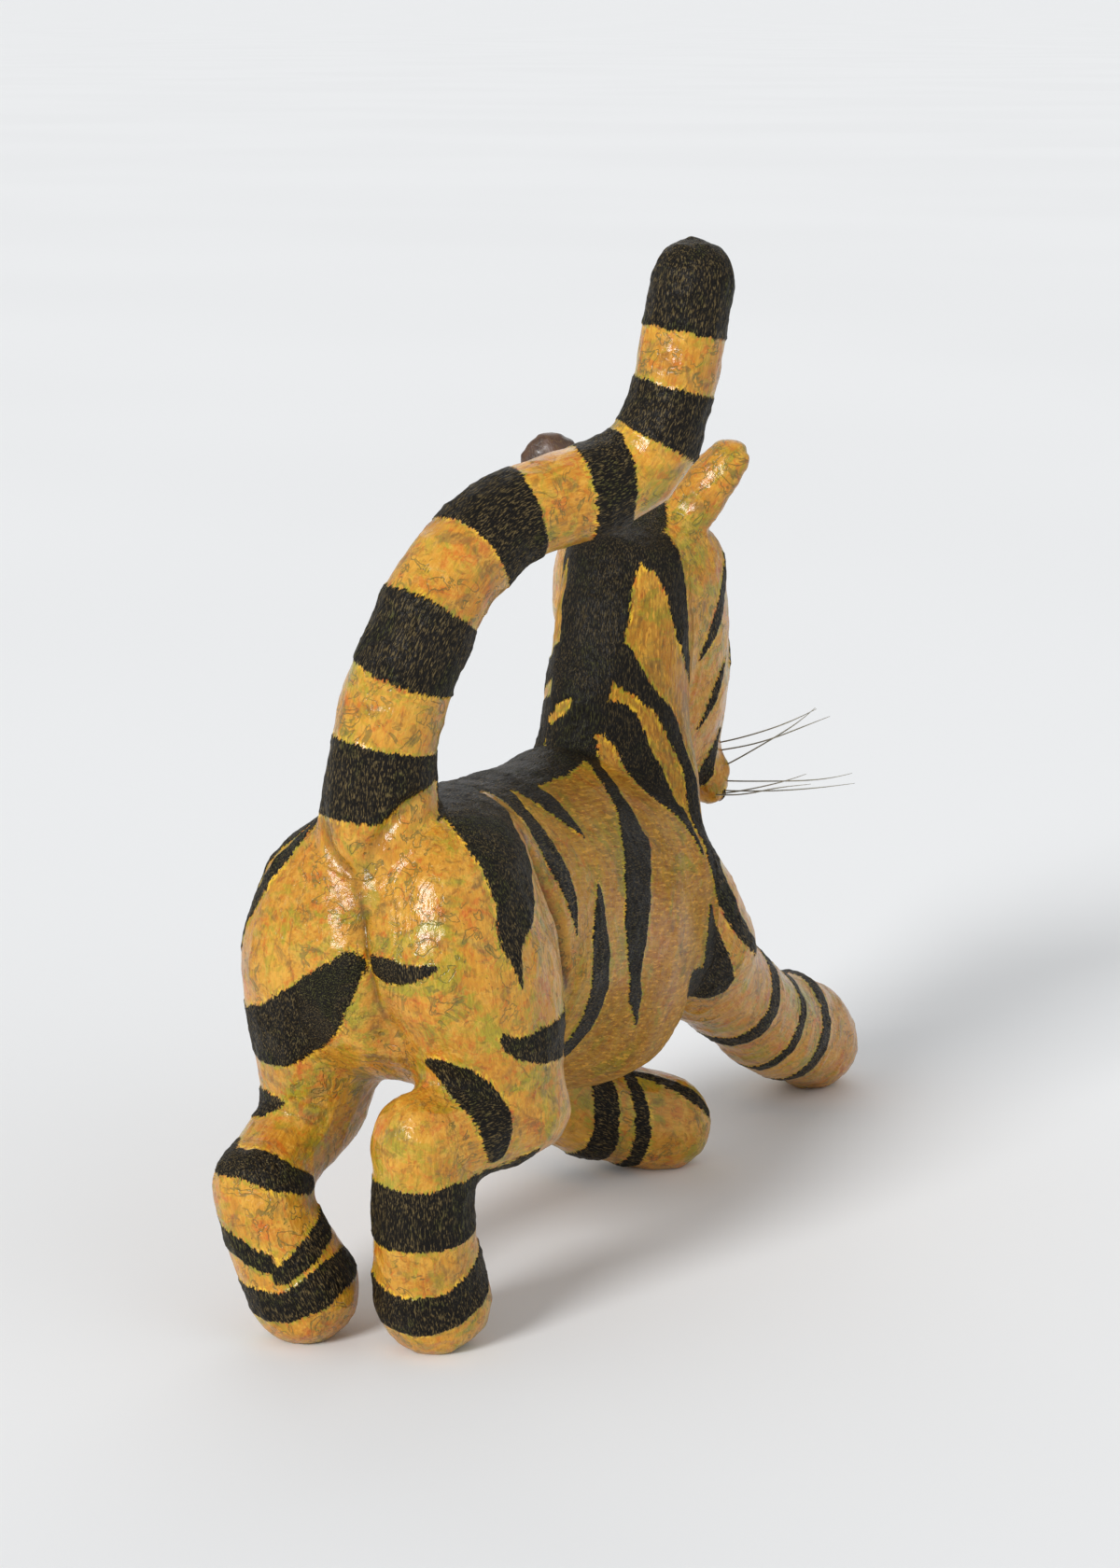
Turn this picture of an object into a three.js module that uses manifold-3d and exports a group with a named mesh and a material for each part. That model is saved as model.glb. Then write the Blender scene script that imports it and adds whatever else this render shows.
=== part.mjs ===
// Papier-mache tiger in the manner of Mexican cartoneria: hollow paper shells pasted over a wire frame.
// Millimetres, +Z up. The tiger looks along -Y, and its left side is +X.
import * as THREE from 'three';
import { mergeVertices } from 'three/addons/utils/BufferGeometryUtils.js';
import Module from 'manifold-3d';

const wasm = await Module();
wasm.setup();

// Driving dimensions
const WALL = 3.2;               // pasted paper, about ten layers
const GAP = 0.3;                // between neighbouring pieces
const SEAM_FORWARD = 128;       // where the rump and chest mouldings are pasted together
const TAIL_SEAMS = [362, 455];  // heights where the tail's three paper tubes meet
const WIRE_RADIUS = 1.6;        // frame wire
const HOOP_RADIUS = 1.2;        // thinner wire, bent into hoops that hold the torso open
const HOOPS = [70, 122, 190];   // how far forward each hoop stands
const HOOP_CLEARANCE = 5;       // between a hoop and the paper round it
const WHISKER_RADIUS = 0.55;    // bristle
const WHISKER_SAG = 2;          // how far a bristle's middle hangs below its straight line
const WHISKER_ROOT = 0.12;      // share of a bristle's length that starts inside the muzzle
const LEFT_SWEEP = [30, -40];   // the left whiskers' tips, further forward and further in than the right's
const HEAD_YAW = 6;             // degrees, the head turns a little to the tiger's left
const FACE_PITCH = 32;          // degrees, the forehead and the nose bridge lean back this much
const EAR_SPLAY = 25;           // degrees, each ear faces outward
const EYE_SIZE = [10, 6.5, 12]; // half-width, half-depth and half-height of each eyeball
const EYE_PLACE = [53, 23, 314]; // ahead of the head's middle, to each side of it, and up
const NOSE_SIZE = [11, 7, 8];
const NOSE_PLACE = [83, -4, 243];
const PAD_SIZE = [15, 13, 17];  // the muzzle's whisker pads
const PAD_PLACE = [63, -2.5, 221];
const PAD_SPREAD = 15.4;        // from the pads' middle line to each pad's middle
const CAP_SHARE = 0.24;         // share of a form's rings that round off each of its ends
const FAR = 2000;               // larger than the figure, for cutting blocks

const COLOURS = {
  ochre: 0xb97c2a, olive: 0xa08440, black: 0x2c2a27, brown: 0x5a3a20,
  wire: 0x8a8d8f, bristle: 0x9a9890, eye: 0xd9b23a, nose: 0x5a2f28,
};

// Every form is a row of stations: forward, left, up, half-width, half-depth (round if left out).
// start and end are how far the rounded ends reach past the first and the last station, and turn
// is the direction of the sections' width, in degrees about the vertical.
const FORMS = {
  torso: {
    sides: 22, rings: 16, start: 52, end: 50,
    stations: [
      [30, 0, 196, 64, 66], [85, 0, 190, 66, 72], [150, 0, 178, 68, 80],
      [215, 0, 164, 73, 88], [256, 0, 160, 70, 84],
    ],
  },
  neck: {
    sides: 16, rings: 11, start: 30, end: 20,
    stations: [
      [278, 0, 205, 54, 54], [290, 0, 240, 43, 46], [295, 0, 275, 39, 42],
      [302, 2, 312, 38, 40], [316, 4, 345, 38, 38],
    ],
  },
  head: {
    sides: 18, rings: 13, start: 28, end: 17, turn: HEAD_YAW,
    stations: [
      [322, 6, 348, 42, 39], [337, 7, 325, 47, 47], [359, 8, 291, 44, 48],
      [380, 10, 257, 37, 41], [391, 11, 237, 31, 32],
    ],
  },
  jaw: {
    sides: 12, rings: 8, start: 12, end: 10, turn: HEAD_YAW,
    stations: [[338, 7, 252, 28, 18], [351, 8, 232, 27, 17], [371, 10, 213, 22, 13]],
  },
  ear_right: {
    sides: 12, rings: 9, start: 8, end: 13, turn: HEAD_YAW - EAR_SPLAY,
    stations: [[339, -20, 370, 13, 7], [346, -33, 390, 15, 6.5], [350, -42, 402, 13, 5]],
  },
  ear_left: {
    sides: 12, rings: 9, start: 8, end: 13, turn: HEAD_YAW + EAR_SPLAY,
    stations: [[326, 33, 371, 16, 7], [320, 47, 391, 19, 6.5], [318, 51, 403, 17, 5]],
  },
  tail: {
    sides: 14, rings: 27,
    stations: [
      [16, 0, 232, 22], [13, 0, 262, 24.5], [16, -2, 302, 24.5], [21, -13, 341, 24.3],
      [35, -24, 374, 23.7], [54, -32, 393, 23], [73, -45, 408, 22.3], [98, -68, 417, 22],
      [116, -86, 428, 21.4], [126, -98, 450, 20.8], [132, -106, 482, 19.9], [138.5, -111, 519, 18.8],
    ],
  },
  thigh_right: {
    sides: 16, rings: 12, start: 40,
    stations: [
      [30, -33, 220, 37, 44], [30, -38, 188, 42, 49], [35, -47, 152, 37, 42], [43, -59, 118, 26, 28],
    ],
  },
  thigh_left: {
    sides: 16, rings: 12, start: 36,
    stations: [
      [31, 33, 214, 36, 43], [31, 37, 184, 41, 48], [32, 42, 146, 34, 38], [34, 49, 106, 25, 27],
    ],
  },
  shank_right: {
    sides: 14, rings: 9,
    stations: [[40, -58, 114, 24.5], [14, -49, 115, 24], [-10, -38, 113, 23]],
  },
  shank_left: {
    sides: 14, rings: 9,
    stations: [[32, 50, 100, 22], [10, 53, 90, 21.5], [-12, 54, 79, 21.5]],
  },
  foot_right: {
    sides: 14, rings: 13,
    stations: [[-12, -36, 113, 24], [-10, -34.5, 90, 23], [-6, -33, 62, 23.5], [8, -31, 25.5, 28]],
  },
  foot_left: {
    sides: 14, rings: 12,
    stations: [[-14, 54, 78, 23], [-13, 48, 58, 23], [-8, 33, 24.5, 26.8]],
  },
  upper_arm_right: {
    sides: 15, rings: 10, start: 36,
    stations: [[262, -26, 178, 38, 42], [300, -32, 146, 37, 37], [348, -36, 107, 31, 30]],
  },
  forearm_right: {
    sides: 14, rings: 12,
    stations: [[345, -36, 109, 30, 29], [420, -38, 67, 26], [470, -37, 42, 25.5], [512, -36, 25, 27.3]],
  },
  upper_arm_left: {
    sides: 15, rings: 10, start: 36,
    stations: [[250, 32, 165, 36, 42], [248, 40, 125, 34, 38], [252, 45, 86, 29, 29]],
  },
  forearm_left: {
    sides: 14, rings: 11,
    stations: [[254, 44, 78, 29, 29], [285, 20, 44, 28], [325, -17, 24.5, 26.8]],
  },
};

// The shells that each one is pasted onto.
const PASTED_ONTO = {
  neck: ['torso'], head: ['neck'], jaw: ['head', 'neck'], ear_right: ['head'], ear_left: ['head'],
  tail: ['torso', 'thigh_left', 'thigh_right'],
  thigh_right: ['torso'], thigh_left: ['torso', 'thigh_right'],
  foot_right: [], shank_right: ['thigh_right', 'foot_right'],
  foot_left: [], shank_left: ['thigh_left', 'foot_left'],
  upper_arm_right: ['torso', 'neck'], forearm_right: ['upper_arm_right'],
  upper_arm_left: ['torso', 'neck', 'upper_arm_right'],
  forearm_left: ['upper_arm_left', 'torso', 'upper_arm_right'],
};

// The hollows that open through each wall.
const OPENS_INTO = {
  torso: ['neck', 'tail', 'thigh_right', 'thigh_left', 'upper_arm_right', 'upper_arm_left'],
  neck: ['head'], head: ['neck'], thigh_right: ['shank_right'], thigh_left: ['shank_left'],
  foot_right: ['shank_right'], foot_left: ['shank_left'],
  upper_arm_right: ['forearm_right'], upper_arm_left: ['forearm_left'],
};

const SOLID_FORMS = ['jaw', 'ear_right', 'ear_left'];

// Frame wires, each a row of points: forward, left, up.
const WIRES = {
  spine_wire: [
    [4, 0, 226], [60, 0, 238], [128, 0, 232], [200, 0, 222], [252, 0, 222], [286, 0, 256],
    [299, 1, 302], [314, 4, 342], [330, 6, 362],
  ],
  tail_wire: [
    [24, 8, 214], [15, 4, 244], [14, 0, 282], [18, -6, 322], [28, -19, 361], [54, -32, 392],
    [88, -59, 412], [118, -89, 424], [127, -101, 448], [132, -107, 482], [137, -110, 512],
  ],
  hind_leg_wire_right: [
    [50, -12, 210], [34, -36, 184], [37, -51, 148], [37, -56, 119], [12, -48, 114],
    [-6, -37, 107], [-9, -34, 84], [-5, -33, 58], [6, -31, 22],
  ],
  hind_leg_wire_left: [
    [50, 12, 206], [34, 34, 180], [36, 42, 144], [34, 46, 105], [12, 50, 89], [-7, 52, 74],
    [-11, 45, 55], [-7, 31, 22],
  ],
  foreleg_wire_right: [
    [244, -12, 196], [275, -28, 164], [345, -36, 109], [420, -38, 67], [500, -36, 28],
  ],
  foreleg_wire_left: [
    [236, 12, 192], [246, 34, 150], [250, 44, 100], [260, 39, 70], [286, 18, 44], [314, -8, 28],
  ],
};

// The right side's whiskers: root and tip, each as forward, left, up.
// The left side mirrors them, swept forward and a little shorter.
const WHISKERS = [
  [[400, -20, 234], [366, -92, 264]],
  [[401, -21, 229], [372, -97, 259]],
  [[403, -20, 219], [378, -86, 263]],
  [[404, -20, 210], [374, -111, 228]],
  [[404, -18, 204], [380, -109, 221]],
  [[402, -17, 202], [361, -89, 229]],
  [[396, -17, 203], [366, -88, 222]],
];

// A point given the tiger's own way: forward of the hind feet, to its left, and up.
function at([forward, left, up]) {
  return new THREE.Vector3(left, -forward, up);
}

// A point given from the middle of the head, turned with it.
function onHead(ahead, aside, up) {
  const [, [forward, left]] = FORMS.head.stations;
  const yaw = THREE.MathUtils.degToRad(HEAD_YAW);
  return [
    forward + ahead * Math.cos(yaw) - aside * Math.sin(yaw),
    left + ahead * Math.sin(yaw) + aside * Math.cos(yaw),
    up,
  ];
}

function look(colour, roughness, metalness = 0) {
  return new THREE.MeshStandardMaterial({ color: COLOURS[colour], roughness, metalness });
}

// The rings of a sphere, moved along a smooth path, so that a form is closed and round-ended.
// grow widens it all round, and is negative for the hollow inside.
function loft(form, grow = 0, sides = form.sides, rings = form.rings) {
  const path = new THREE.CatmullRomCurve3(form.stations.map(at));
  const sizes = new THREE.CatmullRomCurve3(form.stations.map(
    ([, , , width, depth = width]) => new THREE.Vector3(width + grow, depth + grow, 0)));
  const turn = THREE.MathUtils.degToRad(form.turn ?? 0);
  const across = new THREE.Vector3(Math.cos(turn), Math.sin(turn), 0);
  const capRings = Math.max(2, Math.round(rings * CAP_SHARE));
  const geometry = new THREE.SphereGeometry(1, sides, rings);
  const position = geometry.getAttribute('position');
  for (let ring = 0; ring <= rings; ring++) {
    const fromStart = Math.min(ring / capRings, 1) * Math.PI / 2;
    const fromEnd = Math.min((rings - ring) / capRings, 1) * Math.PI / 2;
    const along = THREE.MathUtils.clamp((ring - capRings) / (rings - 2 * capRings), 0, 1);
    const size = sizes.getPoint(along);
    const mean = (size.x + size.y) / 2;
    const startReach = form.start === undefined ? mean : form.start + grow;
    const endReach = form.end === undefined ? mean : form.end + grow;
    const tangent = path.getTangent(along);
    const centre = path.getPoint(along);
    centre.addScaledVector(tangent, endReach * Math.cos(fromEnd) - startReach * Math.cos(fromStart));
    const narrowing = Math.sin(fromStart) * Math.sin(fromEnd);
    const side = across.clone().addScaledVector(tangent, -across.dot(tangent)).normalize();
    const depth = new THREE.Vector3().crossVectors(side, tangent);
    for (let step = 0; step <= sides; step++) {
      const angle = (step % sides) / sides * 2 * Math.PI;
      const point = centre.clone();
      point.addScaledVector(side, Math.cos(angle) * size.x * narrowing);
      point.addScaledVector(depth, Math.sin(angle) * size.y * narrowing);
      position.setXYZ(ring * (sides + 1) + step, point.x, point.y, point.z);
    }
  }
  return geometry;
}

function tube(points, radius, sides, steps) {
  const section = new THREE.Shape();
  section.absarc(0, 0, radius, 0, 2 * Math.PI);
  return new THREE.ExtrudeGeometry(section, {
    extrudePath: new THREE.CatmullRomCurve3(points.map(at)), curveSegments: sides / 2, steps,
  });
}

// A round-wire hoop, upright across the torso and oval like its section.
function hoop(forward) {
  const { stations } = FORMS.torso;
  const path = new THREE.CatmullRomCurve3(stations.map(([f, , up, width, depth]) =>
    new THREE.Vector3(f, up, width)));
  const depths = new THREE.CatmullRomCurve3(stations.map(([f, , , , depth]) =>
    new THREE.Vector3(f, depth, 0)));
  let along = 0;
  while (path.getPoint(along).x < forward) along += 0.002;
  const middle = path.getPoint(along);
  const inset = WALL + HOOP_RADIUS + HOOP_CLEARANCE;
  const halfWidth = middle.z - inset;
  const halfHeight = depths.getPoint(along).y - inset;
  const geometry = new THREE.TorusGeometry(halfWidth, HOOP_RADIUS, 5, 24);
  const position = geometry.getAttribute('position');
  for (let i = 0; i < position.count; i++) {
    const [x, y, z] = [position.getX(i), position.getY(i), position.getZ(i)];
    const radius = Math.hypot(x, y);
    position.setXYZ(i, x, z, y / radius * (radius + halfHeight - halfWidth));
  }
  geometry.scale(1, -1, 1);
  geometry.translate(0, -forward, middle.y);
  return geometry;
}

function ellipsoid([width, depth, height], centre) {
  const geometry = new THREE.SphereGeometry(1, 14, 9);
  geometry.scale(width, depth, height);
  geometry.rotateX(THREE.MathUtils.degToRad(-FACE_PITCH));
  geometry.rotateZ(THREE.MathUtils.degToRad(HEAD_YAW));
  const { x, y, z } = at(centre);
  return geometry.translate(x, y, z);
}

function solid(geometry) {
  const plain = geometry.clone();
  plain.deleteAttribute('normal');
  plain.deleteAttribute('uv');
  const merged = mergeVertices(plain, 1e-4);
  return new wasm.Manifold(new wasm.Mesh({
    numProp: 3,
    vertProperties: new Float32Array(merged.getAttribute('position').array),
    triVerts: new Uint32Array(merged.getIndex().array),
  }));
}

// Everything between two forward positions and between two heights.
function slab(fromForward, toForward, bottom = -FAR, top = FAR) {
  const box = new THREE.BoxGeometry(2 * FAR, toForward - fromForward, top - bottom);
  return solid(box.translate(0, -(fromForward + toForward) / 2, (top + bottom) / 2));
}

const tiger = new THREE.Group();

function addMesh(name, geometry, material) {
  const mesh = new THREE.Mesh(geometry, material);
  mesh.name = name;
  tiger.add(mesh);
}

function addSolid(name, made, material) {
  const { vertProperties, triVerts } = made.getMesh();
  const geometry = new THREE.BufferGeometry();
  geometry.setAttribute('position', new THREE.BufferAttribute(new Float32Array(vertProperties), 3));
  geometry.setIndex(new THREE.BufferAttribute(new Uint32Array(triVerts), 1));
  geometry.computeVertexNormals();
  addMesh(name, geometry, material);
}

const belowFloor = slab(-FAR, FAR, -FAR, 0);
const belowSole = slab(-FAR, FAR, -FAR, WALL);
const outer = {};
const grown = {};
const hollow = {};
for (const [name, form] of Object.entries(FORMS)) {
  outer[name] = solid(loft(form)).subtract(belowFloor);
  grown[name] = solid(loft(form, GAP));
  const inside = loft(form, -WALL, Math.round(form.sides / 2), form.rings - 2);
  hollow[name] = solid(inside).subtract(belowSole);
}

function whiskerPad(sign, grow = 0) {
  const [ahead, aside, up] = PAD_PLACE;
  const place = onHead(ahead, aside + PAD_SPREAD * sign, up);
  return solid(ellipsoid(PAD_SIZE.map(size => size + grow), place));
}

function shell(name) {
  let made = outer[name];
  if (!SOLID_FORMS.includes(name)) made = made.subtract(hollow[name]);
  for (const inner of OPENS_INTO[name] ?? []) made = made.subtract(hollow[inner]);
  for (const host of PASTED_ONTO[name] ?? []) made = made.subtract(grown[host]);
  return made;
}

function addShells() {
  const torso = shell('torso');
  const half = GAP / 2;
  const behindSeam = slab(-FAR, SEAM_FORWARD - half);
  const aheadOfSeam = slab(SEAM_FORWARD + half, FAR);
  addSolid('rump_shell', torso.intersect(behindSeam), look('ochre', 0.45));
  addSolid('chest_shell', torso.intersect(aheadOfSeam), look('olive', 0.6));
  const tail = shell('tail');
  const [low, high] = TAIL_SEAMS;
  const root = slab(-FAR, FAR, -FAR, low - half);
  const arch = slab(-FAR, FAR, low + half, high - half);
  const tip = slab(-FAR, FAR, high + half, FAR);
  addSolid('tail_root_shell', tail.intersect(root), look('ochre', 0.5));
  addSolid('tail_arch_shell', tail.intersect(arch), look('ochre', 0.5));
  addSolid('tail_tip_shell', tail.intersect(tip), look('black', 0.5));
  for (const name of Object.keys(PASTED_ONTO).filter(key => key !== 'tail')) {
    addSolid(`${name}_shell`, shell(name), look(name === 'ear_left' ? 'brown' : 'ochre', 0.5));
  }
}

function addFace() {
  for (const [side, sign] of [['right', -1], ['left', 1]]) {
    const [ahead, aside, up] = EYE_PLACE;
    const eye = solid(ellipsoid(EYE_SIZE, onHead(ahead, aside * sign, up)));
    addSolid(`eye_${side}`, eye.subtract(grown.head), look('eye', 0.2));
    const pad = whiskerPad(sign).subtract(grown.head).subtract(grown.jaw);
    addSolid(`whisker_pad_${side}`, pad, look('ochre', 0.5));
  }
  const nose = solid(ellipsoid(NOSE_SIZE, onHead(...NOSE_PLACE)));
  addSolid('nose', nose.subtract(grown.head), look('nose', 0.35));
}

function addFrame() {
  for (const [name, points] of Object.entries(WIRES)) {
    addMesh(name, tube(points, WIRE_RADIUS, 6, 2 * points.length), look('wire', 0.4, 0.8));
  }
  HOOPS.forEach((forward, i) => {
    addMesh(`torso_hoop_${i + 1}`, hoop(forward), look('wire', 0.4, 0.8));
  });
}

// Bristles start just inside the muzzle's paint and are cut back to its surface.
function addWhiskers() {
  const [, muzzleLeft] = FORMS.head.stations.at(-1);
  const [sweptForward, sweptLeft] = LEFT_SWEEP;
  const mirrored = ([forward, left, up], reach) =>
    [forward + sweptForward * reach, 2 * muzzleLeft - left + sweptLeft * reach, up];
  const sides = [['right', -1, point => point], ['left', 1, mirrored]];
  for (const [side, sign, place] of sides) {
    const muzzle = grown.head.add(grown.jaw).add(whiskerPad(sign, GAP));
    WHISKERS.forEach(([root, tip], i) => {
      const straight = reach => root.map((value, axis) => value + (tip[axis] - value) * reach);
      const between = reach => place(straight(reach), reach);
      const sagging = between(0.5);
      sagging[2] -= WHISKER_SAG;
      const points = [between(-WHISKER_ROOT), between(0), sagging, between(1)];
      const bristle = solid(tube(points, WHISKER_RADIUS, 6, 4));
      addSolid(`whisker_${side}_${i + 1}`, bristle.subtract(muzzle), look('bristle', 0.3));
    });
  }
}

addShells();
addFace();
addFrame();
addWhiskers();

// The frame's origin is under the middle of the figure's box, at the height of its soles.
const box = new THREE.Box3().setFromObject(tiger);
tiger.position.set(-(box.min.x + box.max.x) / 2, -(box.min.y + box.max.y) / 2, -box.min.z);

export default tiger;
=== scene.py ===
import math

import bmesh
import bpy
import numpy as np
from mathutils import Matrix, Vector
from mathutils.bvhtree import BVHTree


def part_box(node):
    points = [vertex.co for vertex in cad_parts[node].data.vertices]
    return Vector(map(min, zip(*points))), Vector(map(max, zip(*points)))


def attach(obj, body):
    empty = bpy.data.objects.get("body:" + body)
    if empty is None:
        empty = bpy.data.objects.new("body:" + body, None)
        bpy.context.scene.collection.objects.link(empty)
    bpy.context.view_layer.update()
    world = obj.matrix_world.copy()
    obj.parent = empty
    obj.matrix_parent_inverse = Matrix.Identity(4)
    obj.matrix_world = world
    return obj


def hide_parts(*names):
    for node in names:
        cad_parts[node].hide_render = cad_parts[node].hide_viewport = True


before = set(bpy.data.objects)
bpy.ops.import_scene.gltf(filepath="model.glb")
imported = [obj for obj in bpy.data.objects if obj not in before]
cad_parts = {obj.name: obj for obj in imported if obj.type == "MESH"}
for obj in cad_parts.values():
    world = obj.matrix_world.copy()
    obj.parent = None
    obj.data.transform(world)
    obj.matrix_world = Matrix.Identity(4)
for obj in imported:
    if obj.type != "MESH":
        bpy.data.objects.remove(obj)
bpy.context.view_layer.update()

MM = 0.001

# Driving dimensions, in millimetres unless they say otherwise
REMESH = 4.3             # the first even mesh over all the shells
FINE_LEVELS = 2
RIM_DEPTH = 3.0          # how far a piece's edge turns inward
FIRST_HOOP_FORWARD = 70  # where the design puts torso_hoop_1
HEAD_MIDDLE = 8          # the head's middle plane, to the left of the body's
FULLNESS = 1.8           # the smoothed skin is let out again by this much
BAND_RELIEF = 0.55       # the black paint stands proud by this much
EYE_HALF_SIZES = (9.5, 10.5, 6.0)     # across, up and out
NOSE_HALF_SIZES = (13.5, 9.5, 7.5)
NOSE_SET_BACK = 4        # the nose sits this far into the muzzle
BRISTLE_RADII = (0.46, 0.38, 0.15)    # at the root, at 0.7 of the way out and at the tip
FLOOR_REACH = 2000       # metres from the middle of the floor to each side


# ---- the tiger's own measure

def middle_of(node):
    low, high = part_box(node)
    return np.array((low + high) / 2)


ZERO_X, ZERO_Y, _ = middle_of("torso_hoop_1") + (0, FIRST_HOOP_FORWARD * MM, 0)


def to_tiger(metres):
    m = np.asarray(metres, float)
    return np.stack([ZERO_Y - m[..., 1], m[..., 0] - ZERO_X, m[..., 2]], -1) / MM


def to_row(tiger):
    t = np.asarray(tiger, float) * MM
    return np.stack([t[..., 1] + ZERO_X, ZERO_Y - t[..., 0], t[..., 2]], -1)


def turned_to_row(directions):
    return np.stack([directions[..., 1], -directions[..., 0], directions[..., 2]], -1)


# ---- limbs

# The middle line of each limb, for the lie of the brush strokes and for the bands round it.
AXES = {
    "torso": [(-30, 0, 200), (30, 0, 196), (85, 0, 190), (150, 0, 178), (215, 0, 164), (310, 0, 150)],
    "neck": [(276, 0, 190), (290, 0, 240), (295, 0, 275), (302, 2, 312), (320, 4, 375)],
    "head": [(315, 6, 385), (338, 7, 324), (360, 8, 290), (381, 10, 256), (398, 11, 215)],
    "tail": [
        (16, 0, 232), (13, 0, 262), (16, -2, 302), (21, -13, 341), (35, -24, 374), (54, -32, 393),
        (73, -45, 408), (98, -68, 417), (116, -86, 428), (126, -98, 450), (132, -106, 482),
        (138, -111, 519), (141, -112, 545),
    ],
    "thigh_right": [(30, -33, 240), (30, -38, 188), (35, -47, 152), (43, -59, 100)],
    "thigh_left": [(31, 33, 240), (31, 37, 184), (32, 42, 146), (34, 49, 90)],
    "shank_right": [(60, -66, 113), (14, -49, 115), (-14, -37, 113)],
    "shank_left": [(55, 47, 110), (10, 53, 90), (-16, 54, 77)],
    "foot_right": [(-12, -36, 135), (-10, -34, 90), (-6, -33, 62), (12, -30, 10)],
    "foot_left": [(-14, 56, 96), (-13, 48, 58), (-6, 30, 10)],
    "arm_right": [(255, -24, 186), (300, -32, 146), (348, -36, 107), (420, -38, 67), (530, -36, 20)],
    "arm_left": [(250, 28, 190), (248, 40, 125), (252, 45, 86), (285, 20, 44), (340, -26, 20)],
    "jaw": [(330, 7, 262), (351, 8, 232), (376, 10, 205)],
    "ear_right": [(335, -12, 355), (352, -46, 410)],
    "ear_left": [(330, 25, 358), (318, 53, 412)],
}

NODE_AXIS = {
    "rump_shell": "torso", "chest_shell": "torso", "neck_shell": "neck", "head_shell": "head",
    "jaw_shell": "jaw", "ear_right_shell": "ear_right", "ear_left_shell": "ear_left",
    "tail_root_shell": "tail", "tail_arch_shell": "tail", "tail_tip_shell": "tail",
    "thigh_right_shell": "thigh_right", "thigh_left_shell": "thigh_left",
    "shank_right_shell": "shank_right", "shank_left_shell": "shank_left",
    "foot_right_shell": "foot_right", "foot_left_shell": "foot_left",
    "upper_arm_right_shell": "arm_right", "forearm_right_shell": "arm_right",
    "upper_arm_left_shell": "arm_left", "forearm_left_shell": "arm_left",
    "whisker_pad_right": "head", "whisker_pad_left": "head",
}

NODES = list(NODE_AXIS)
FACE_NODES = ("head_shell", "jaw_shell", "whisker_pad_right", "whisker_pad_left")


def is_on(nodes, *names):
    """Which points are on one of the named shells."""
    return np.isin(nodes, [NODES.index(name) for name in names])


def is_along(nodes, axis):
    """Which points are on a shell that follows this middle line."""
    return is_on(nodes, *(name for name in NODES if NODE_AXIS[name] == axis))


def smooth_line(points, per_span=16):
    """Points on the Catmull-Rom curve through a row of points, whatever they hold."""
    p = np.array(points, float)
    p = np.vstack([2 * p[0] - p[1], p, 2 * p[-1] - p[-2]])
    share = np.linspace(0, 1, per_span, endpoint=False)[:, None]
    spans = [
        0.5 * (2 * b + (c - a) * share + (2 * a - 5 * b + 4 * c - d) * share**2
               + (3 * b - a - 3 * c + d) * share**3)
        for a, b, c, d in zip(p, p[1:], p[2:], p[3:])
    ]
    return np.vstack([*spans, p[-2]])


def carried_frame(line):
    """Two directions across a line at each of its points, carried along it without twist."""
    along = np.gradient(line, axis=0)
    along /= np.linalg.norm(along, axis=1)[:, None]
    side = np.cross(along[0], [0.3, 0.2, 0.93])
    sides = []
    for direction in along:
        side = side - (side @ direction) * direction
        side = side / np.linalg.norm(side)
        sides.append(side)
    sides = np.array(sides)
    return sides, np.cross(along, sides)


def limb_measure(points, axis):
    """Each point's place across a limb, in two directions, and its distance along it."""
    line = smooth_line(AXES[axis])
    distance = np.r_[0, np.cumsum(np.linalg.norm(np.diff(line, axis=0), axis=1))]
    sides, depths = carried_frame(line)
    chunks = np.split(points, range(20000, len(points), 20000))
    nearest = np.concatenate([((line**2).sum(1) - 2 * chunk @ line.T).argmin(1) for chunk in chunks])
    offset = points - line[nearest]
    along = np.cross(sides[nearest], depths[nearest])
    return np.stack([
        (offset * sides[nearest]).sum(1),
        (offset * depths[nearest]).sum(1),
        distance[nearest] + (offset * along).sum(1),
    ], 1)


# ---- noise

LATTICE = np.random.default_rng(11).random((32, 32, 32))


def noise(points, size, seed=0, octaves=1):
    """Smooth noise from -1 to 1, with lumps about size millimetres across."""
    total = np.zeros(len(points))
    for octave in range(octaves):
        p = points / (size / 2**octave) + seed * 7.31 + octave * 3.7
        cell = np.floor(p).astype(int)
        f = p - cell
        f = f * f * (3 - 2 * f)
        value = np.zeros(len(points))
        for corner in np.ndindex(2, 2, 2):
            weight = np.prod(np.where(corner, f, 1 - f), axis=1)
            value += weight * LATTICE[tuple(((cell + corner) % len(LATTICE)).T)]
        total += (value * 2 - 1) / 2**octave
    return total


def smoothstep(low, high, value):
    share = np.clip((value - low) / (high - low), 0, 1)
    return share * share * (3 - 2 * share)


# ---- brushes

def reach_of(points, stroke, margin=12):
    """How far inside a stroke each point lies. A stroke is a row of (forward, left, up, radius)."""
    inside = np.full(len(points), -99.0)
    knots = np.array(stroke, float)
    low, high = knots.min(0)[:3], knots.max(0)[:3]
    margin += knots[:, 3].max()
    near = ((points > low - margin) & (points < high + margin)).all(1)
    p = points[near]
    best = np.full(len(p), -99.0)
    for a, b in zip(knots, knots[1:]):
        span = b[:3] - a[:3]
        share = np.clip((p - a[:3]) @ span / max(span @ span, 1e-9), 0, 1)
        distance = np.linalg.norm(p - a[:3] - share[:, None] * span, axis=1)
        best = np.maximum(best, a[3] + (b[3] - a[3]) * share - distance)
    inside[near] = best
    return inside


def away_from(points, line):
    """Each point's distance from a row of points, where it is near them."""
    return -reach_of(points, [(*place, 0) for place in line], 70)


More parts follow.
